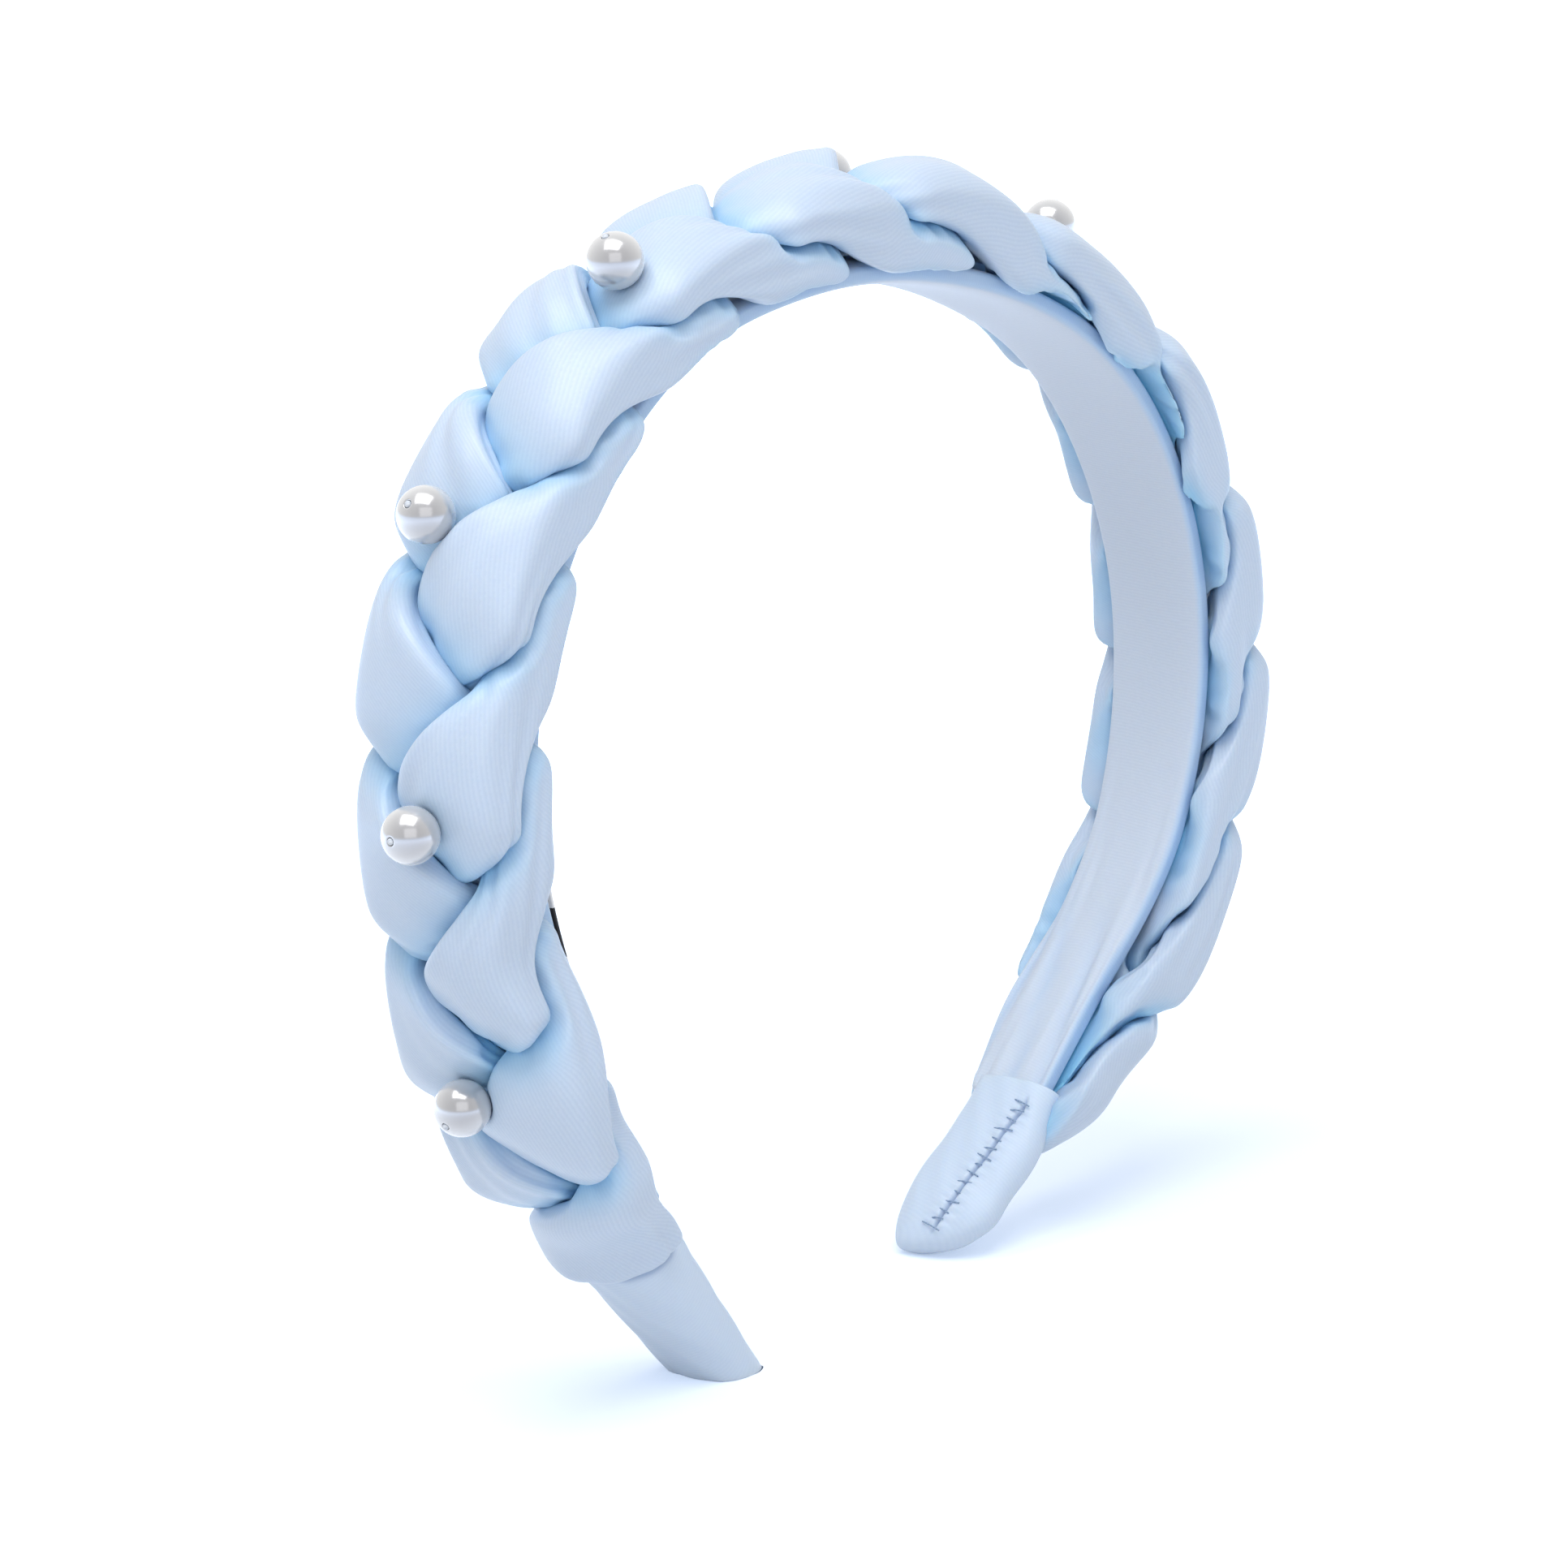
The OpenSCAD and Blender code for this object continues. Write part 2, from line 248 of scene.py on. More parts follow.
# %% Node helpers
def new_material(name):
    """Empty node material with its output and one principled shader."""
    material = bpy.data.materials.new(name)
    material.use_nodes = True
    tree = material.node_tree
    tree.nodes.clear()
    out = tree.nodes.new("ShaderNodeOutputMaterial")
    shader = tree.nodes.new("ShaderNodeBsdfPrincipled")
    tree.links.new(shader.outputs[0], out.inputs[0])
    return material, tree, shader


def node(tree, kind, links=(), **values):
    """Adds a node and links its inputs from (socket, output) pairs. A value named in_N goes to input N, any other
    to the field of that name; inputs 2 and 3 of a noise are its scale and its detail."""
    made = tree.nodes.new(kind)
    for key, value in values.items():
        if key.startswith("in_"):
            made.inputs[int(key[3:])].default_value = value
        else:
            setattr(made, key, value)
    for socket, output in links:
        tree.links.new(output, made.inputs[socket])
    return made


def math(tree, operation, a, b=0.0):
    """Output of a node that works out one operation on two numbers or outputs."""
    made = tree.nodes.new("ShaderNodeMath")
    made.operation = operation
    for socket, value in enumerate((a, b)):
        if hasattr(value, "is_linked"):
            tree.links.new(value, made.inputs[socket])
        else:
            made.inputs[socket].default_value = value
    return made.outputs[0]


def blend_colours(tree, share, dark, light):
    """Output that goes from the colour dark to the colour light as share goes from 0 to 1."""
    made = node(tree, "ShaderNodeMix", [(0, share)], data_type="RGBA")
    made.inputs[6].default_value, made.inputs[7].default_value = dark, light
    return made.outputs[2]


def set_inputs(made, values):
    """Sets sockets of a node by name."""
    for socket, value in values.items():
        made.inputs[socket].default_value = value


def srgb(r, g, b):
    """Display colour 0 to 255 as the linear colour a shader takes."""
    c = np.array([r, g, b]) / 255.0
    c = np.where(c <= 0.04045, c / 12.92, ((c + 0.055) / 1.055) ** 2.4)
    return (*map(float, c), 1.0)


# %% [markdown]
# ## Satin
# Satin shows fine parallel lines about half a millimetre apart and a soft, broad shine. The lines are worked
# out from the cloth map as a wave that drifts a little, and they tint the blue, the roughness and a low bump.
# The shine itself is set on the shader and left to the lights.


# %% Satin material
FINE_DRIFT, LINE_SHARE, LINE_SHINE = 0.22, 0.45, 0.08


def satin(name, light, dark, deep, lean, pitch, rough, drift):
    """Satin: a sine of distance across the lines, plus slow noise, mixes a light and a dark blue thread. The
    colour goes over to deep, a painted shade, where the piece's own stored value says that cloth lies against
    cloth. The lines lean by lean radians, lie pitch mm apart and wander by drift mm."""
    material, tree, shader = new_material(name)
    cloth = node(tree, "ShaderNodeUVMap", uv_map="cloth").outputs[0]
    split = node(tree, "ShaderNodeSeparateXYZ", [(0, cloth)])
    along, around = split.outputs[0], split.outputs[1]
    slow = node(tree, "ShaderNodeTexNoise", [(0, cloth)], noise_dimensions="2D", in_2=0.045, in_3=1.0).outputs[0]
    fine = node(tree, "ShaderNodeTexNoise", [(0, cloth)], noise_dimensions="2D", in_2=1.7, in_3=2.0).outputs[0]
    across = math(tree, "ADD", math(tree, "MULTIPLY", along, float(np.cos(lean))),
                  math(tree, "MULTIPLY", around, float(np.sin(lean))))
    across = math(tree, "ADD", across, math(tree, "MULTIPLY", slow, drift))
    across = math(tree, "ADD", across, math(tree, "MULTIPLY", fine, FINE_DRIFT))
    wave = math(tree, "SINE", math(tree, "MULTIPLY", across, float(2 * np.pi / pitch)))
    line = math(tree, "ADD", math(tree, "MULTIPLY", wave, 0.5), 0.5)
    weight = math(tree, "ADD", math(tree, "MULTIPLY", line, LINE_SHARE),
                  math(tree, "MULTIPLY", fine, 1 - LINE_SHARE))
    threads = blend_colours(tree, weight, dark, light)
    # painted shade: the stored value blends the thread colours towards deep, the blue of shade in creases
    painted_shade = node(tree, "ShaderNodeAttribute", attribute_name="painted_shade").outputs["Fac"]
    colour = node(tree, "ShaderNodeMix", [(0, painted_shade), (6, threads)], data_type="RGBA")
    colour.inputs[7].default_value = deep
    tree.links.new(colour.outputs[2], shader.inputs["Base Color"])
    dull = math(tree, "ADD", math(tree, "MULTIPLY", line, -LINE_SHINE), rough)
    tree.links.new(dull, shader.inputs["Roughness"])
    bump = node(tree, "ShaderNodeBump", [("Height", line)])
    set_inputs(bump, {"Strength": 0.1, "Distance": 0.00006})
    tree.links.new(bump.outputs[0], shader.inputs["Normal"])
    set_inputs(shader, {
        "Specular IOR Level": 0.42, "Subsurface Weight": 0.22, "Subsurface Radius": (0.4, 0.65, 1.0),
        "Subsurface Scale": 0.0022, "Sheen Weight": 0.08, "Sheen Roughness": 0.4,
        "Sheen Tint": srgb(205, 225, 250)})
    return material


# the third colour of each satin is a painted shade, the blue of its creases
strand_satin = satin("strand_satin", srgb(201, 216, 235), srgb(188, 205, 227), srgb(118, 200, 242),
                     lean=1.05, pitch=0.52, rough=0.38, drift=1.6)
lining_satin = satin("lining_satin", srgb(208, 219, 234), srgb(199, 211, 228), srgb(140, 192, 240),
                     lean=0.1, pitch=0.45, rough=0.5, drift=1.5)
cap_satin = satin("cap_satin", srgb(208, 224, 243), srgb(201, 218, 239), srgb(126, 152, 190),
                  lean=0.25, pitch=0.45, rough=0.46, drift=1.5)
print("satins", [m.name for m in (strand_satin, lining_satin, cap_satin)])

# %% [markdown]
# ## The three strands
# A strand swings from edge to edge, rises over its neighbour on the way in and dips under the next on the way
# out. The cloth is puffed until it meets something: at each station the three strands share the room between
# them, so every point stops where a neighbour's pull is as strong as its own, on the band, or at a pearl.

# %% Strand paths
# Plait: rise over a neighbour, length of one full swing, angle at the crown, lead of the upper edge.
RISE, PERIOD, PHASE, AHEAD = 2.9, 60.0, 101.0, 0.49
# Strand: half thickness, swell at the edges, height of its middle, strength of the strand that lies on top.
HALF_T, PLUMP, MIDDLE, PRESS = 2.9, 0.5, 9.2, 1.3
# Underside: extra fullness on the right arm and the lowest level it may reach.
UNDER, INNER_FACE = 0.32, 0.5
# Edge line: half width of the plait, softness of the fold there, then level, slope and softness of the slant.
EDGE, FOLD, INNER, SLANT, SOFT = 12.1, 0.7, 5.5, 11.5, 0.15
# Fall of the plait towards its edges, and of its lower side beyond the crown.
ARCH, SAG = 2.8, 2.4
# Where the plait grows slacker: from, over what length, by how much.
SLACK = ((-25, 100, 21), (100, 80, 18))
# Local swells of the edges: strands, swell of the upper edge, of the lower edge, middle and reach.
SWELLS = (((0,), 3.4, 0.0, -131, 7), ((0,), 0.0, -2.0, -138, 9), ((2,), 0.0, 2.4, -146, 7),
          ((0, 1, 2), 0.0, 1.6, -121, 5))
# First and last station of each strand, and its last cut at the left and at the right end: upper and lower edge,
# height of the middle and of both edges, half thickness.
LAST_WRAP = {0: (-163.0, 160.0), 1: (-164.0, 166.5), 2: (-170.0, 160.0)}
ENDS = {0: ((9.5, -5.6, -0.6, -2.6, -2.6, 2.0), (6.5, -6.5, -2.4, -4.0, -4.0, 2.0)),
        1: ((9.5, -5.6, -0.6, -2.6, -2.6, 2.0), (10.4, -10.0, 2.8, -1.0, -3.4, 3.6)),
        2: ((11.2, -8.0, 2.4, -0.2, -2.6, 2.6), (6.5, -6.5, -2.4, -4.0, -4.0, 2.0))}
NOSE_LEFT, NOSE_RIGHT = 2.2, 11.0
# Room kept between a strand and its neighbour (as a share), the band's top and side, and the middle of a pearl.
GAP, OVER_BAND, BESIDE_BAND, PEARL_ROOM = 1.03, 0.15, 0.4, 3.62
PEARLS = np.array([[-135.9, 1.7, 16.4], [-106.2, -1.4, 16.2], [-77.4, 2.5, 16.05], [-47.4, -3.9, 16.25],
                   [0, 9, 13.3], [34.9, 2.2, 15.85], [60.5, 10, 12.95], [97.4, -2, 17.25], [120.5, 10, 13.05]])


def edge(angle):
    """Inner edge of a strand at its angle: a straight slant away from the strand's own side, bent softly where
    the strand turns and folded at the far edge of the plait."""
    turned = np.abs((angle + np.pi) % (2 * np.pi) - np.pi)
    slant = INNER - SLANT * (np.hypot(turned, SOFT) - SOFT)
    return FOLD * np.logaddexp(slant / FOLD, -EDGE / FOLD)


def strand_cut(s, k):
    """Cut through strand k at s: the plait is slacker over the crown and the right arm, its edges follow the
    angle, their heights are those of the strand a little before and after, and one strand makes a last wrap over
    the other two at each end. Gives middle, half width, height, lean, bow and half thickness of the cut."""
    plaited = s
    for start, length, lost in SLACK:
        plaited = plaited - lost * ramp(s, start, length)
    angle = np.radians(-360 * plaited / PERIOD + PHASE + 120 * k)
    low_left = ramp(-s, 112, 30)
    shift = 0.8 * ramp(-s, 10, 30)
    y_up = shift + 1.6 * low_left - edge(np.pi - angle)
    y_down = shift - 0.6 * low_left + edge(angle)
    for which, up, down, middle, reach in SWELLS:
        if k in which:
            swell = hump(s, middle, reach)
            y_up, y_down = y_up + up * swell, y_down + down * swell
    lead = AHEAD * np.sin(angle)
    t_up, t_down, t = (RISE * np.sin(2 * v) for v in (angle - lead, angle + lead, angle))
    thick = HALF_T * (1 + PLUMP * np.cos(angle) ** 4)
    arch = ARCH - 1.8 * low_left
    sag = SAG * ramp(s, 12, 20) * ramp(-s, -92, 30)
    t_up, t_down, t = (v - arch * ramp(np.abs(w), 1, 12) - sag * ramp(-w, -2, 13)
                       for v, w in ((t_up, y_up), (t_down, y_down), (t, (y_up + y_down) / 2)))
    crown = 0.9 * hump(s, -4, 20)
    end = np.where((s < 0)[:, None], *ENDS[k]).T
    near = np.where(s < 0, ramp(-s, 152, 14), ramp(s, 136, 18))
    droop = ramp(s, 130, 20) + 4.4 * ramp(s, 153, 14)
    cut = (y_up, y_down, t, t_up, t_down, thick)
    y_up, y_down, t, t_up, t_down, thick = (v + near * (w - v) for v, w in zip(cut, end))
    t, thick = t - droop, thick + crown
    middle, wide, height = (y_up + y_down) / 2, (y_up - y_down) / 2, (t_up + t_down) / 2 - droop
    rise = MIDDLE - 0.9 * near + crown
    return middle, wide, height + rise, (t_up - t_down) / (2 * wide), t - height, thick


def sagging(s, x):
    """How much fuller the underside is at share x across a strand: on the right arm towards its lower edge, and
    at both ends, where the last wrap is drawn round the band, towards the edges there."""
    towards_up, towards_down = np.clip(1.5 * x - 0.2, 0, 1), np.clip(-1.5 * x - 0.2, 0, 1)
    wrap = 0.9 * ramp(s, 140, 10) * towards_up
    wrap = wrap + 1.3 * ramp(-s, 146, 12) * towards_up
    wrap = wrap + 0.7 * ramp(-s, 151, 17) * towards_down
    return 1 + UNDER * ramp(s, 10, 25) * np.clip(0.5 - 1.5 * x, 0, 1) + wrap


def puffed_strand(s, k, sides=120, steps=56, power=4.0, least=0.06):
    """Section by section, each ray from the strand's middle runs out to 1 in its own stretched measure, the sum of
    the powers of its shares across and up, and stops early where a neighbour's measure, weighed for lying over or
    under, is smaller, at the band, or at a pearl."""
    q = np.linspace(0, 2 * np.pi, sides, endpoint=False)
    norm = (np.abs(np.cos(q)) ** power + np.abs(np.sin(q)) ** power) ** (1 / power)
    cq, sq = (np.cos(q) / norm)[None, :], (np.sin(q) / norm)[None, :]
    sq = np.where(sq < 0, sq * sagging(s[:, None], cq), sq)
    yc, wide, tc, lean, bow, thick = (v[:, None] for v in strand_cut(s, k))

    def at(out):
        """Across and up for a share of the way out along every ray."""
        return yc + out * wide * cq, tc + out * (lean * wide * cq + thick * sq) + bow * (1 - (out * cq) ** 2)

    others = []
    for other, over in (((k + 1) % 3, -1), ((k + 2) % 3, 1)):
        first, last = LAST_WRAP[other]
        swap = 1 - 2 * ramp(s, 142, 12) if {k, other} == {1, 2} else np.ones_like(s)
        press = PRESS ** (over * swap[:, None])
        gone = 4 * ramp(np.maximum(first + 4 - s, s - last + 6), 0, 5)[:, None]
        others.append(([v[:, None] for v in strand_cut(s, other)], press, gone))
    beside = band_width(s)[:, None] / 2 + BESIDE_BAND
    out = np.full((len(s), sides), least)
    going = np.ones_like(out, bool)
    for reach in np.linspace(least, 1.0, steps):
        y, t = at(reach)
        free = (t >= BAND_T + OVER_BAND) | (np.abs(y - band_shift(s)[:, None]) > beside)
        free &= t > INNER_FACE
        for (yo, wo, to, lo, bo, ho), press, gone in others:
            x = (y - yo) / wo
            v = (t - to - lo * (y - yo) - bo * (1 - np.minimum(x * x, 1))) / ho
            v = np.where(v < 0, v / sagging(s[:, None], x), v)
            measure = (np.abs(x) ** power + np.abs(v) ** power) ** (1 / power)
            free &= measure * press + gone > reach * GAP
        place = spot(s[:, None], y, t)
        for pearl in PEARLS:
            free &= ((place - spot(*pearl)) ** 2).sum(-1) > PEARL_ROOM ** 2
        going &= free
        out[going] = reach
    return at, out


def smoothed(field, rounds):
    """Averages each value with its four neighbours, round the ring and along the strand."""
    for _ in range(rounds):
        up = np.concatenate([field[:1], field[:-1]])
        down = np.concatenate([field[1:], field[-1:]])
        field = 0.4 * field + 0.15 * (up + down + np.roll(field, 1, 1) + np.roll(field, -1, 1))
    return field


def nose(s, first, last):
    """Rounds a strand off with a quarter ellipse, short at the left end and long at the right one."""
    near = np.minimum((s - first) / NOSE_LEFT, (last - s) / NOSE_RIGHT)
    return np.sqrt(np.clip(1 - (1 - np.clip(near, 0, 1)) ** 2, 0.0, 1))


# %% [markdown]
# ## Folds in the cloth
# Stuffed satin is never quite smooth. Slow lumps and long pleats run over each strand, and short creases gather
# where another strand presses on it. They are added as heights along the outward direction of the surface.


# %% Folds
LUMPS, PLEAT_HEIGHT, CREASES = 0.16, 0.16, 0.2


def surface_normals(rings):
    """Outward directions of a closed grid of rings, from the cross product of its two runs of points."""
    along = np.gradient(rings, axis=0)
    around = np.roll(rings, -1, 1) - np.roll(rings, 1, 1)
    n = np.cross(along, around)
    n /= np.maximum(np.linalg.norm(n, axis=-1, keepdims=True), 1e-9)
    outside = ((rings - rings.mean(1, keepdims=True)) * n).sum(-1).mean()
    return n if outside > 0 else -n


def folds(s, q, pressed, seed):
    """Height of the folds in mm: slow lumps, long pleats that run with the strand and short creases, each a
    product of two waves, the creases only where the strand is pressed by another."""
    u, v = s[:, None], q[None, :]
    lumps = np.sin(u / 4.7 + 2 * v + seed) * np.sin(u / 7.9 - v + 2.1 * seed)
    pleats = np.sin(9 * v + 1.7 * np.sin(u / 9.0 + seed) + u / 6.0) * np.sin(u / 11.3 + 1.3 * seed) ** 2
    bent = u * 1.55 + 3.2 * np.sin(v + seed) + 1.2 * np.sin(u / 3.1)
    creases = np.sin(bent) * np.sin(2 * v + u / 5.0 + seed) ** 2
    return LUMPS * lumps + PLEAT_HEIGHT * pleats + CREASES * creases * pressed


# %% [markdown]
# ## Making the strands
# Each strand is worked out at 700 stations, smoothed a little, rounded off at its ends and given its folds. How
# hard it is pressed is kept with its points, and there the satin is painted a deeper blue, as shade in the creases.

# %% Strand pieces
STATIONS, PAINTED_SHADE_SHARE, THINNEST = 700, 0.95, 0.03
strands = []
for k, letter in enumerate("abc"):
    first, last = LAST_WRAP[k]
    stations = np.linspace(first, last, STATIONS)
    rounded = nose(stations, first, last)[:, None]
    at, out = puffed_strand(stations, k)
    pressed = smoothed(np.clip((1 - out) * 2.5, 0, 1), 14)
    out = smoothed(out, 4) * np.maximum(rounded, THINNEST)
    rings = spot(stations[:, None], *at(out))
    q = np.linspace(0, 2 * np.pi, rings.shape[1], endpoint=False)
    height = folds(stations, q, pressed * (1 - pressed) * 4, 1.7 * k) * rounded
    rings = rings + height[..., None] * surface_normals(rings)
    piece = tube(f"strand_{letter}", rings)
    # painted shade: the pressed share, spread wider, turns the satin towards its deep crease blue
    set_painted_shade(piece, smoothed(pressed, 40) * PAINTED_SHADE_SHARE)
    piece.data.materials.append(strand_satin)
    strands.append(piece)
    highest = round(float(np.abs(height).max()), 2)
    print(piece.name, len(piece.data.vertices), "points, folds up to", highest, "mm")

# %% [markdown]
# ## The band: core and lining
# The core is a plain flexible strip that never shows. The lining is satin drawn round it, smooth on the inner
# face, with a few soft creases where it narrows towards the tips. Inside the caps it is gathered in. Its edge
# beside the plait and its deepest pleats are painted a deeper blue, as shade.

# %% Core and lining
PLEAT_AT, PLEAT_RUN, DEEPEST = 146, 16, 0.65
PLEATS = ((7.9, 0.04, 0.7, 0.6), (3.6, -0.12, 0.9, 0.5), (-1.2, -0.06, 1.1, 0.35))  # place, tilt, width, depth
GATHER_LEFT, GATHER_RIGHT = 160.5, 163


def strip(s0, s1, count, less, low, high, sides):
    """Places on a tube with a rounded flat section from s0 to s1, narrower than the band by less."""
    s = np.linspace(s0, s1, count)
    y, t = flat_ring(band_width(s) - less, np.full(count, low), np.full(count, high), sides)
    return s[:, None], y + band_shift(s)[:, None], t


core = tube("core", spot(*strip(S_LEFT + 4, S_RIGHT - 9, 160, 1.6, 0.8, 2.4, 32)))
s, y, t = strip(S_LEFT + 3, S_RIGHT - 8, 420, 0.0, 0.0, BAND_T, 96)
crease = 0.4 * ramp(np.abs(s), 90, 60)
ridge = np.sin(0.75 * y + 0.035 * s + 0.6) ** 4 + 0.5 * np.sin(1.6 * y - 0.11 * s) ** 6
soft = 0.12 * np.sin(s / 9.0 + 0.35 * y) * np.sin(s / 14.0 - 0.2 * y)
run = np.exp(-((s - PLEAT_AT) / PLEAT_RUN) ** 4)
fold = sum(deep * hump(y - y0 - tilt * (s - PLEAT_AT), 0, wide) * run for y0, tilt, wide, deep in PLEATS)
inside = ramp(np.abs(s + 4), np.where(s < 0, GATHER_LEFT, GATHER_RIGHT), 3)
creased = np.minimum(crease * (ridge - 0.4) + soft + fold, DEEPEST) * (1 - inside) + 0.6 * inside
t = t + np.where(t < BAND_T / 2, creased, 0)
y = y + 1.3 * hump(s, 147, 12) * np.clip((y - band_shift(s)) / 6, 0, 1)
y = y - 0.35 * inside * (y - y.mean(1, keepdims=True))
lining = tube("lining", spot(s, y, t))
# painted shade: a deeper blue along the lining's edge beside the plait and in its deepest pleats
rim = ramp(band_shift(s) - y - band_width(s) / 2, -0.9, 0.9)
set_painted_shade(lining, np.maximum(0.45 * rim, 0.4 * np.clip(fold, 0, 0.6)))
lining.data.materials.append(lining_satin)
core_plastic, tree, shader = new_material("core_plastic")
grain = node(tree, "ShaderNodeTexNoise", in_2=900.0)
tone = blend_colours(tree, grain.outputs[0], srgb(222, 222, 216), srgb(236, 236, 232))
tree.links.new(tone, shader.inputs["Base Color"])
set_inputs(shader, {"Roughness": 0.5})
core.data.materials.append(core_plastic)
print("lining", len(lining.data.vertices), "points")

# %% [markdown]
# ## The tip caps
# Each cap is a satin pocket drawn over the end of the band and closed along its inner face by a hand-sewn seam.
# The seam pulls the cloth in, so the cap gets a valley with a pucker at every stitch. The seam valley and, on the
# left cap, the crease under the last wrap are painted a deeper blue, as shade.

# %% Caps
SIDES = ((-1, "left", S_LEFT), (1, "right", S_RIGHT))
CAP_LEN, CAP_MOUTH = 26.0, 2.0
CAP_OVER = {-1: 1.6, 1: -0.8}  # how far a cap reaches past the tip
CAP_ROUND = {-1: 1.8, 1: 9.0}  # length of its rounded end
STITCHES, SEAM_START, SEAM_LESS = 15, 1.5, 5.0


def seam_place(d, side):
    """Across the band, where the seam runs at distance d from the mouth of a cap: slanting on the right cap."""
    return -2.3 + 4.8 * np.clip((d - 2.2) / 21.5, 0, 1) if side > 0 else 0.5 + 0 * d


def cap_rings(side, s_tip, count=170, sides=288):
    """Rings of a cap from its mouth to its end: width and thickness shrink evenly, the right cap bulges to one side
    before its round end, the left one ends in a slanting, slightly ragged edge with a point, and the seam is a
    valley with one pucker a stitch. Also gives a painted shade where the cloth is tucked in, in the seam and under
    the wrap."""
    d = np.linspace(-CAP_MOUTH, CAP_LEN + CAP_OVER[side] - 0.02, count)
    share = np.clip(d / CAP_LEN, 0, 1)
    left = CAP_LEN + CAP_OVER[side] - d
    close = np.sqrt(np.clip(1 - (1 - np.clip(left / CAP_ROUND[side], 0, 1)) ** 2, 0.0004, 1))
    if side < 0:
        width, low, high, drift = 16.2 - 3.8 * share, -0.5 + 0 * d, 10.8 - 3.4 * share, 2.8 - 2.8 * share
    else:
        width, low, high = 13.4 + 1.6 * ramp(d, 0, 12), -0.8 + 0 * d, 6.6 - 1.2 * share
        drift = 1.6 + 1.5 * ramp(d, 5, 12) + 0.3 * width * (1 - close)
    middle, thin = (low + high) / 2, close ** 0.7
    y, t = flat_ring(width * close, middle + (low - middle) * thin, middle + (high - middle) * thin, sides, 0.8)
    seam = seam_place(d, side)
    run = (d - SEAM_START) / (CAP_LEN - SEAM_LESS) * (STITCHES - 1)
    pull = np.clip(d / 2.0, 0, 1) * np.clip((CAP_LEN - 2.5 - d) / 2.0, 0, 1)
    d, left, drift, pull = d[:, None], left[:, None], drift[:, None], pull[:, None]
    inner = np.clip((middle[:, None] - t) / 1.5, 0, 1)
    off = y + drift - seam[:, None]
    valley = hump(off, 0, 0.3) * 0.45
    pucker = hump(np.maximum(np.abs(off) - 0.4, 0), 0, 1.5) * 0.1
    pucker = pucker * np.cos(2 * np.pi * (run[:, None] + 0.1 * off))
    t = t + inner * pull * (valley + pucker * np.clip(np.abs(off), 0, 1))
    t = t + 0.16 * np.sin(0.9 * y + d / 2.3) * np.sin(d / 3.7 + 0.5 * y)
    # painted shade: a deeper blue along the seam valley
    cap_painted_shade = 0.8 * hump(off, 0, 0.26) * inner * pull
    ragged = 0.0
    if side < 0:
        ragged = (0.35 * np.sin(2.1 * y) + 0.25 * np.sin(4.7 * y + 1)) * np.clip(1 - left / 2.4, 0, 1)
        ragged = ragged + 2.0 * np.clip(-y / 5.5, -0.4, 1) * np.clip(1 - left / 7, 0, 1)
        ragged = ragged + 1.3 * hump(y, -5.4, 1.4) * np.clip(1 - left / 4, 0, 1)
        # painted shade: a crease line of deeper blue just below the last wrap on the left cap
        cap_painted_shade = cap_painted_shade + 0.7 * hump(d, 2.3, 0.7) * (1 - inner)
    rings = spot(s_tip + side * (d - CAP_LEN) + side * ragged, y + drift, t)
    rings[..., 2] = np.maximum(rings[..., 2], 0.0)
    return rings, cap_painted_shade


caps = {}
for side, word, s_tip in SIDES:
    rings, cap_painted_shade = cap_rings(side, s_tip)
    caps[word] = tube(f"tip_cap_{word}_cloth", rings)
    set_painted_shade(caps[word], cap_painted_shade)
    caps[word].data.materials.append(cap_satin)
    print(caps[word].name, len(caps[word].data.vertices), "points")

# %% [markdown]
# ## Thread
# Each hand stitch is a short arch of thread that dives into the cloth at both ends. The thread is a fine twist,
# shown by a slanted line pattern along it.


# %% Stitches
CAP_INNER = {"left": -0.35, "right": -0.6}  # level of the inner face of each cap
STITCH_LIFT, THREAD_RADIUS = 0.2, 0.11


def arches(name, feet_a, feet_b, rise, radius, sides=8, count=9):
    """Thin tubes from feet_a to feet_b, lifted by a sine arch along rise: one mesh for all of them."""
    u = np.linspace(0, 1, count)[None, :, None]
    path = feet_a[:, None] * (1 - u) + feet_b[:, None] * u + rise[:, None] * (np.sin(np.pi * u) - 0.35)
    tangent = np.gradient(path, axis=1)
    tangent /= np.linalg.norm(tangent, axis=-1, keepdims=True)
    normal = rise[:, None] - (rise[:, None] * tangent).sum(-1, keepdims=True) * tangent
    normal /= np.linalg.norm(normal, axis=-1, keepdims=True)
    side = np.cross(tangent, normal)
    q = np.linspace(0, 2 * np.pi, sides, endpoint=False)[None, None, :, None]
    rings = path[:, :, None] + radius * (np.cos(q) * normal[:, :, None] + np.sin(q) * side[:, :, None])
    points = rings.reshape(-1, 3)
    start = (np.arange(len(feet_a)) * count * sides)[:, None, None]
    i, j = np.arange(count - 1)[:, None], np.arange(sides)[None, :]
    k = (j + 1) % sides
    one = np.broadcast_arrays(i * sides + j, (i + 1) * sides + j, (i + 1) * sides + k, i * sides + k)
    quads = (np.stack(one, -1).reshape(1, -1, 4) + start).reshape(-1, 4)
    ends = np.stack([np.arange(sides), (count - 1) * sides + np.arange(sides)[::-1]])
    ends = (ends[None] + start).reshape(-1, sides)
    turned = outward(points, quads)
    if turned is not quads:
        ends = ends[:, ::-1]
    return add_piece(name, points, turned.tolist() + ends.tolist())


def thread_material(name, light, dark):
    """Sewing thread: slanted bands a third of a millimetre apart in two close greys."""
    material, tree, shader = new_material(name)
    place = node(tree, "ShaderNodeTexCoord").outputs["Object"]
    bands = node(tree, "ShaderNodeTexWave", [(0, place)], bands_direction="DIAGONAL", in_1=900.0)
    tree.links.new(blend_colours(tree, bands.outputs[1], dark, light), shader.inputs["Base Color"])
    set_inputs(shader, {"Roughness": 0.6})
    return material


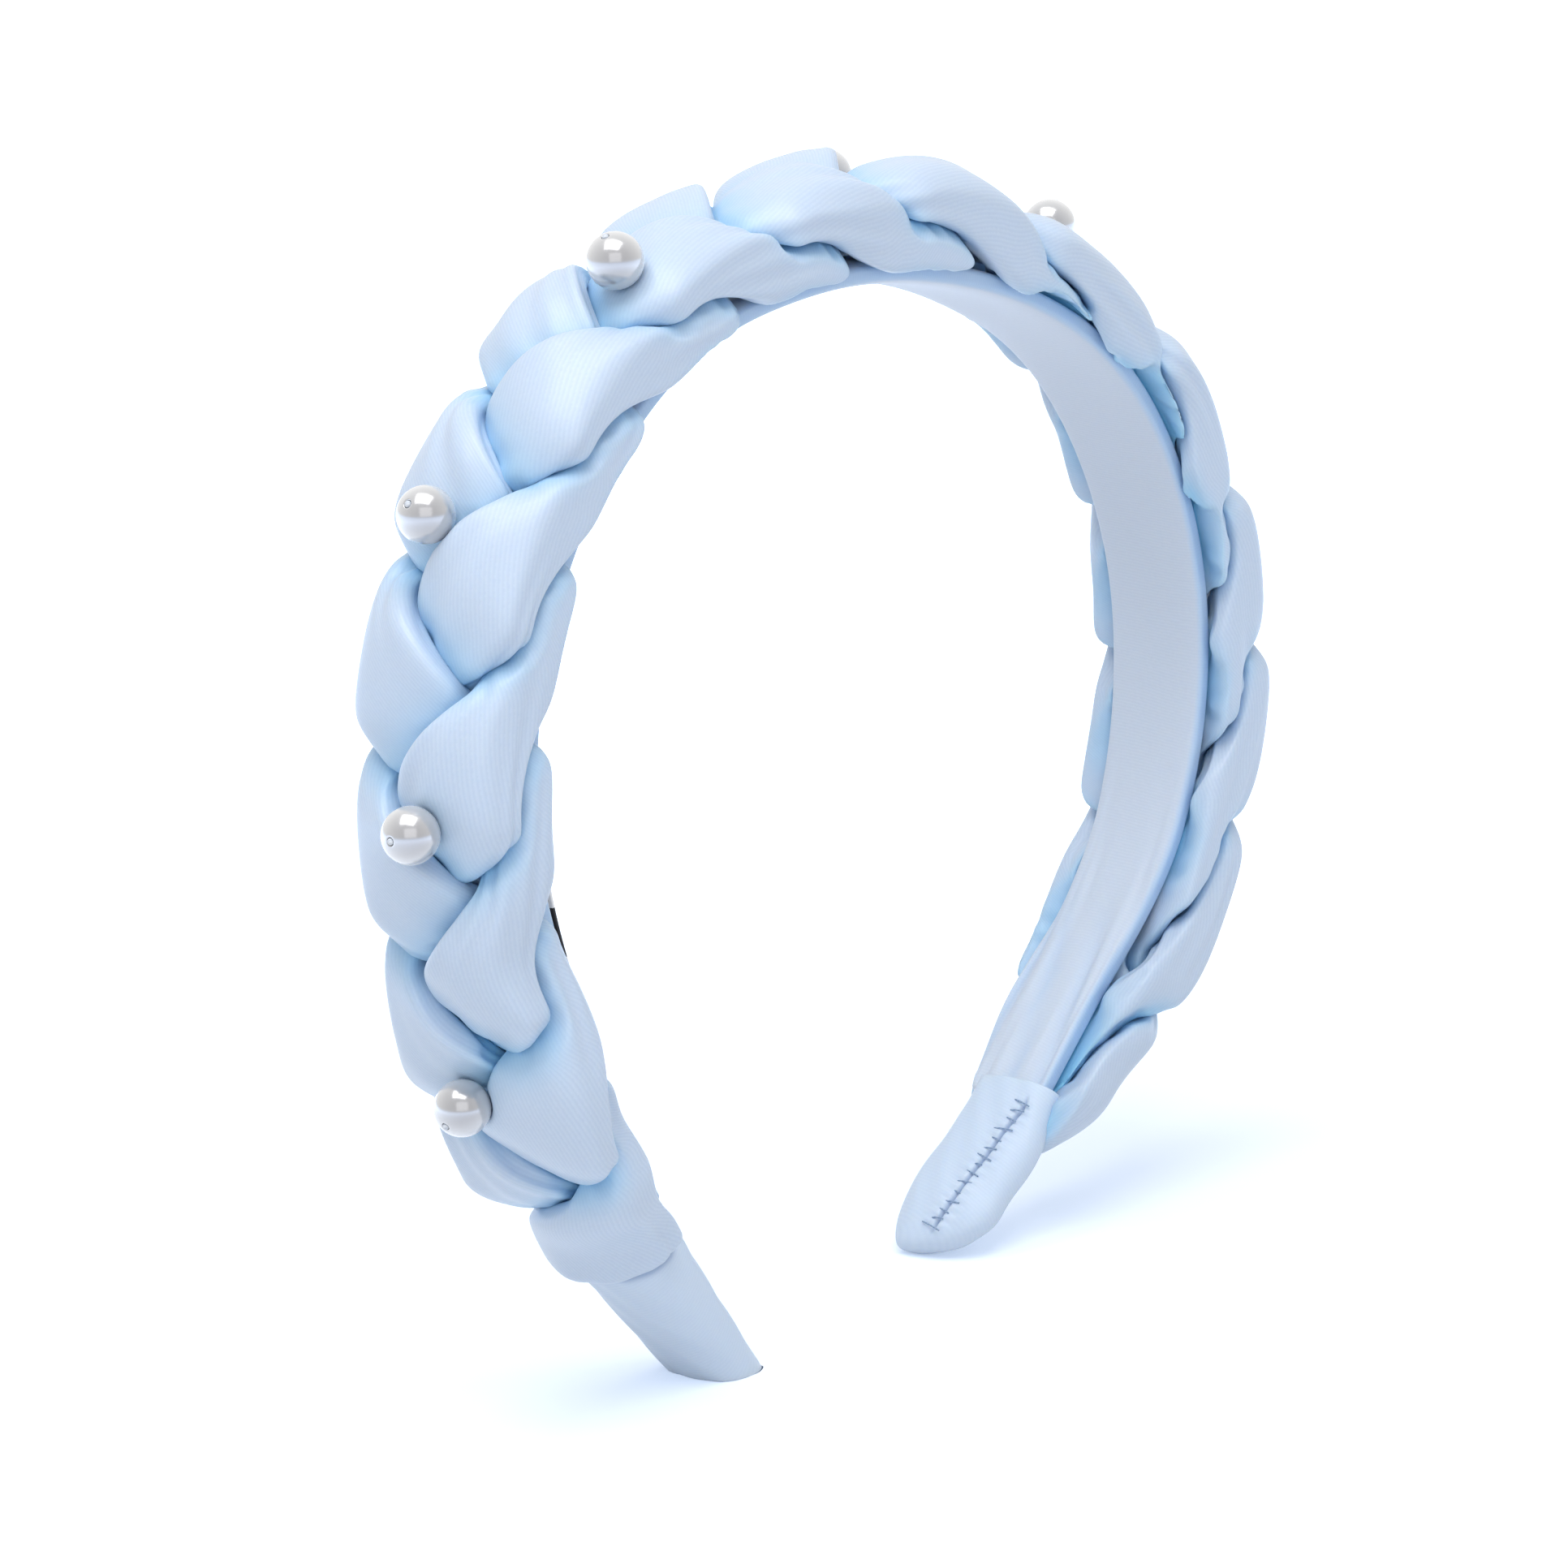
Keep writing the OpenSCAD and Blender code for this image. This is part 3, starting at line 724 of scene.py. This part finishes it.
seam_thread = thread_material("seam_thread", srgb(150, 172, 200), srgb(120, 145, 178))
pearl_thread = thread_material("pearl_thread", srgb(222, 228, 236), srgb(196, 205, 218))
stitch_rows = {}
count = np.arange(STITCHES)
for side, word, s_tip in SIDES:
    s = s_tip - side * CAP_LEN + side * (SEAM_START + (CAP_LEN - SEAM_LESS) * count / (STITCHES - 1))
    seam = seam_place(side * (s - s_tip) + CAP_LEN, side)
    long = 1.15 + 0.3 * np.sin(2.4 * count) + 0.25 * np.sin(4.1 * count + 1)
    s, tilt = s + 0.22 * np.sin(5.3 * count), 0.1 + 0.16 * np.sin(3.1 * count + 2)
    level = CAP_INNER[word] + 0.16 * (seam / 8.0) ** 2
    foot_a = spot(s + side * tilt * long, seam - 0.8 * long, level)
    foot_b = spot(s - side * tilt * long, seam + 1.2 * long, level)
    lift = spot(s, seam, level - STITCH_LIFT) - spot(s, seam, level)
    row = arches(f"cap_stitches_{word}_thread", foot_a, foot_b, lift, THREAD_RADIUS)
    row.data.materials.append(seam_thread)
    stitch_rows[word] = row
print("stitches", STITCHES, "a cap")

# %% [markdown]
# ## Pearls
# An imitation pearl is a drilled ball under a thin pearly coat. It is turned as a profile: out along the hole,
# round the rim and over the ball. The coat is smooth and shows the soft box above as a clear bright patch. Its
# colour also carries a painted reflection: darker grey where it faces the camera, lighter towards its rim.


# %% Pearl pieces
def ball_profile(radius=3.5, hole=0.5, count=56, wall_count=8):
    """Radius and height down a drilled ball: a small round rim where the hole meets the ball, then the arc."""
    rim = np.arcsin((hole + 0.12) / radius)
    arc = np.linspace(rim, np.pi - rim, count)
    top = radius * np.cos(rim) - 0.1
    wall = np.linspace(top, -top, wall_count)
    r = np.concatenate([radius * np.sin(arc), [hole + 0.02], np.full(wall_count, hole), [hole + 0.02]])
    h = np.concatenate([radius * np.cos(arc), [-top - 0.04], -wall, [top + 0.04]])
    return r, h


def turned_ring(name, r, h, centre, axis, sides=64):
    """Turns the closed profile r, h round an axis through centre."""
    axis = axis / np.linalg.norm(axis)
    side = np.cross(axis, [0.0, 1.0, 0.0])
    side /= np.linalg.norm(side)
    other = np.cross(axis, side)
    q = np.linspace(0, 2 * np.pi, sides, endpoint=False)[:, None]
    out = np.cos(q) * side + np.sin(q) * other
    rings = centre + h[:, None, None] * axis + r[:, None, None] * out
    n, m = rings.shape[:2]
    i, j = np.arange(n)[:, None], np.arange(m)[None, :]
    k, l = (j + 1) % m, (i + 1) % n
    quads = np.broadcast_arrays(i * m + j, l * m + j, l * m + k, i * m + k)
    points = rings.reshape(-1, 3)
    return add_piece(name, points, outward(points, np.stack(quads, -1).reshape(-1, 4)).tolist())


def out_axis(s):
    """Direction straight out of the band at s."""
    a = float(heading(s))
    return np.array([np.sin(a), 0.0, np.cos(a)])


pearl_coat, tree, shader = new_material("pearl_coat")
place = node(tree, "ShaderNodeTexCoord")
cloud = node(tree, "ShaderNodeTexNoise", [(0, place.outputs["Object"])], in_2=260.0, in_3=3.0).outputs[0]
# painted reflection: darker grey where the pearl faces the camera, lighter towards its rim, for dim surroundings
# round the highlight
facing = node(tree, "ShaderNodeLayerWeight", in_0=0.5).outputs["Facing"]
pale = math(tree, "ADD", math(tree, "MULTIPLY", cloud, 0.12), math(tree, "MULTIPLY", facing, 1.1))
tone = blend_colours(tree, pale, srgb(164, 164, 167), srgb(236, 236, 236))
tree.links.new(tone, shader.inputs["Base Color"])
set_inputs(shader, {"Metallic": 0.5, "Roughness": 0.2, "Coat Weight": 0.7, "Coat Roughness": 0.06})
fleck = node(tree, "ShaderNodeBump", [("Height", cloud)])
set_inputs(fleck, {"Strength": 0.05, "Distance": 0.0001})
tree.links.new(fleck.outputs[0], shader.inputs["Normal"])

pearls = []
r, h = ball_profile()
for i, (s, y, t) in enumerate(PEARLS):
    ball = turned_ring(f"pearl_{i + 1}_ball", r, h, spot(s, y, t), out_axis(s))
    ball.data.materials.append(pearl_coat)
    pearls.append(ball)
print(len(pearls), "pearls of", len(pearls[0].data.vertices), "points")

# %% [markdown]
# ## What holds the pearls
# A short stalk of thread runs from the band through each pearl and ends in a round knot on its outer side. The
# threads of one half are joined into one piece, because they ride together.


# %% Pearl threads
def thread_profile(top=3.3, below=6.7, stalk=0.3, knot=0.42, count=40, stalk_count=12):
    """Radius and height of one thread: a straight stalk with a round knot on its upper end."""
    arc = np.linspace(-0.93, 1.5, count)
    h = np.concatenate([np.linspace(-below, top - knot * 0.8, stalk_count), top + knot * np.sin(arc)])
    r = np.concatenate([np.full(stalk_count, stalk), knot * np.cos(arc)])
    return r, h


thread_pieces = {}
r, h = thread_profile()
q = np.linspace(0, 2 * np.pi, 20, endpoint=False)[None, :, None]
for word, which in (("left", range(0, 4)), ("right", range(4, 9))):
    made = []
    for i in which:
        s, y, t = PEARLS[i]
        axis = out_axis(s)
        side = np.array([axis[2], 0, -axis[0]])
        out = np.cos(q) * side + np.sin(q) * np.array([0, 1.0, 0])
        rings = spot(s, y, t) + h[:, None, None] * axis + r[:, None, None] * out
        made.append(tube(f"pearl_thread_{i + 1}", rings))
    bpy.ops.object.select_all(action="DESELECT")
    for piece in made:
        piece.select_set(True)
    bpy.context.view_layer.objects.active = made[0]
    bpy.ops.object.join()
    made[0].name = f"pearl_threads_{word}_knots"
    made[0].data.materials.append(pearl_thread)
    thread_pieces[word] = made[0]
print("threads", [p.name for p in thread_pieces.values()])

# %% [markdown]
# ## The label
# A plain woven tape is sewn flat on the inner face of the left arm. It carries one plain dark bar and no words.

# %% Label
LABEL_FROM, LABEL_TO, LABEL_ROWS = -129.0, -115.0, 40
BAR_AT, BAR_HALF = -122.0, 3.4
s = np.linspace(LABEL_FROM, LABEL_TO, LABEL_ROWS)
y, t = flat_ring(band_width(s) - 1.2, np.full(LABEL_ROWS, -0.7), np.full(LABEL_ROWS, -0.2), 48, 0.3)
label = tube("label_tape", spot(s[:, None], y, t), along=s)
label_tape, tree, shader = new_material("label_tape")
cloth = node(tree, "ShaderNodeUVMap", uv_map="cloth").outputs[0]
split = node(tree, "ShaderNodeSeparateXYZ", [(0, cloth)])
from_bar = math(tree, "ABSOLUTE", math(tree, "ADD", split.outputs[0], -BAR_AT))
bar = math(tree, "LESS_THAN", from_bar, BAR_HALF)
weave = node(tree, "ShaderNodeTexNoise", [(0, cloth)], in_2=3.0)
tree.links.new(blend_colours(tree, bar, srgb(240, 240, 240), srgb(38, 38, 42)), shader.inputs["Base Color"])
rough = math(tree, "ADD", math(tree, "MULTIPLY", weave.outputs[0], 0.2), 0.6)
tree.links.new(rough, shader.inputs["Roughness"])
label.data.materials.append(label_tape)
print("label", round(float(np.ptp(s)), 1), "mm long")

# %% [markdown]
# ## Riding the frame
# Fabric that crosses the bending crown, the strands, core and lining, keeps its baked place and rides on neither
# half; the ends of the stretch where the hoop bends are worked out, but nothing is blended over it. Everything
# else rides on the half, or the pearl, that it belongs to.

# %% Ride and replace
bend_start = tuple(map(float, spot(-8.0, 0, 1.6) * MM))
bend_end = tuple(map(float, spot(-36.0, 0, 1.6) * MM))
for piece, letter in zip(strands, "abc"):
    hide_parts(f"strand_{letter}_left", f"strand_{letter}_right")
    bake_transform(piece)
for piece, name in ((core, "core"), (lining, "lining")):
    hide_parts(f"{name}_left", f"{name}_right")
    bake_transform(piece)
for word in ("left", "right"):
    for piece, name, slot in ((caps[word], f"tip_cap_{word}", "cap"),
                              (stitch_rows[word], f"cap_stitches_{word}", "thread"),
                              (thread_pieces[word], f"pearl_threads_{word}", "thread")):
        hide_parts(name)
        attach(piece, f"{word}_half")
for i, ball in enumerate(pearls):
    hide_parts(f"pearl_{i + 1}")
    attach(ball, f"pearl_{i + 1}")
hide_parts("label")
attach(label, "left_half")

# %% [markdown]
# ## The floor
# The headband stands on a white floor. To the camera and in reflections the floor also glows a little, more so
# away from the object, so the picture runs out to plain white; what lights the object is kept at a plain level.

# %% Floor
FLOOR_REACH = 6.0
floor_corners = [(x * FLOOR_REACH, y * FLOOR_REACH, 0) for x, y in ((-1, -1), (1, -1), (1, 1), (-1, 1))]
floor_mesh = bpy.data.meshes.new("floor")
floor_mesh.from_pydata(floor_corners, [], [(0, 1, 2, 3)])
floor = bpy.data.objects.new("floor", floor_mesh)
scene.collection.objects.link(floor)


def seen_rays(tree):
    """Output that is 1 for rays that show a surface: straight from the camera, mirrored or let through."""
    rays = tree.nodes.new("ShaderNodeLightPath").outputs
    seen = math(tree, "MAXIMUM", rays["Is Camera Ray"], rays["Is Glossy Ray"])
    return math(tree, "MAXIMUM", seen, rays["Is Transmission Ray"])


floor_paper = bpy.data.materials.new("floor_paper")
floor_paper.use_nodes = True
tree = floor_paper.node_tree
tree.nodes.clear()
out = tree.nodes.new("ShaderNodeOutputMaterial")
paper = node(tree, "ShaderNodeBsdfDiffuse", in_0=(0.82, 0.82, 0.83, 1))
place = node(tree, "ShaderNodeTexCoord")
away = node(tree, "ShaderNodeVectorMath", [(0, place.outputs["Object"])], operation="LENGTH")
spread = node(tree, "ShaderNodeMapRange", [(0, away.outputs["Value"])],
              in_1=0.12, in_2=0.42, in_3=0.5, in_4=1.6)
# the glow is light blue, so the object's shadow on the floor is painted bluish
glow = node(tree, "ShaderNodeEmission", [(1, spread.outputs[0])], in_0=(0.58, 0.74, 1, 1))
both = node(tree, "ShaderNodeAddShader", [(0, paper.outputs[0]), (1, glow.outputs[0])])
mixed = node(tree, "ShaderNodeMixShader", [(0, seen_rays(tree)), (1, paper.outputs[0]), (2, both.outputs[0])])
tree.links.new(mixed.outputs[0], out.inputs[0])
floor_mesh.materials.append(floor_paper)

# %% [markdown]
# ## The light
# One large soft box hangs above the headband, with a paler fill from the front. The world shows white to the
# camera and gives a soft, even light from all round.

# %% World and lamps
world = bpy.data.worlds.new("studio")
scene.world = world
world.use_nodes = True
tree = world.node_tree
tree.nodes.clear()
out = tree.nodes.new("ShaderNodeOutputWorld")
soft = node(tree, "ShaderNodeBackground", in_0=(0.97, 0.98, 1.0, 1), in_1=0.52)
white = node(tree, "ShaderNodeBackground", in_0=(1, 1, 1, 1), in_1=1.0)
mixed = node(tree, "ShaderNodeMixShader", [(0, seen_rays(tree)), (1, soft.outputs[0]), (2, white.outputs[0])])
tree.links.new(mixed.outputs[0], out.inputs[0])


def soft_box(name, place, aim, width, depth, power):
    """Rectangular lamp at place, in metres, turned to face aim."""
    data = bpy.data.lights.new(name, "AREA")
    data.shape = "RECTANGLE"
    data.size, data.size_y, data.energy = width, depth, power
    lamp = bpy.data.objects.new(name, data)
    facing = (Vector(aim) - Vector(place)).to_track_quat("-Z", "Y").to_matrix().to_4x4()
    lamp.matrix_world = Matrix.Translation(place) @ facing
    scene.collection.objects.link(lamp)


AIM = (0, 0, 0.08)
soft_box("key", (-0.3, -0.12, 1.1), AIM, 1.0, 0.8, 9.0)
soft_box("fill", (-1.0, -0.9, 0.6), AIM, 1.2, 0.9, 3.0)
print("lamps ready")
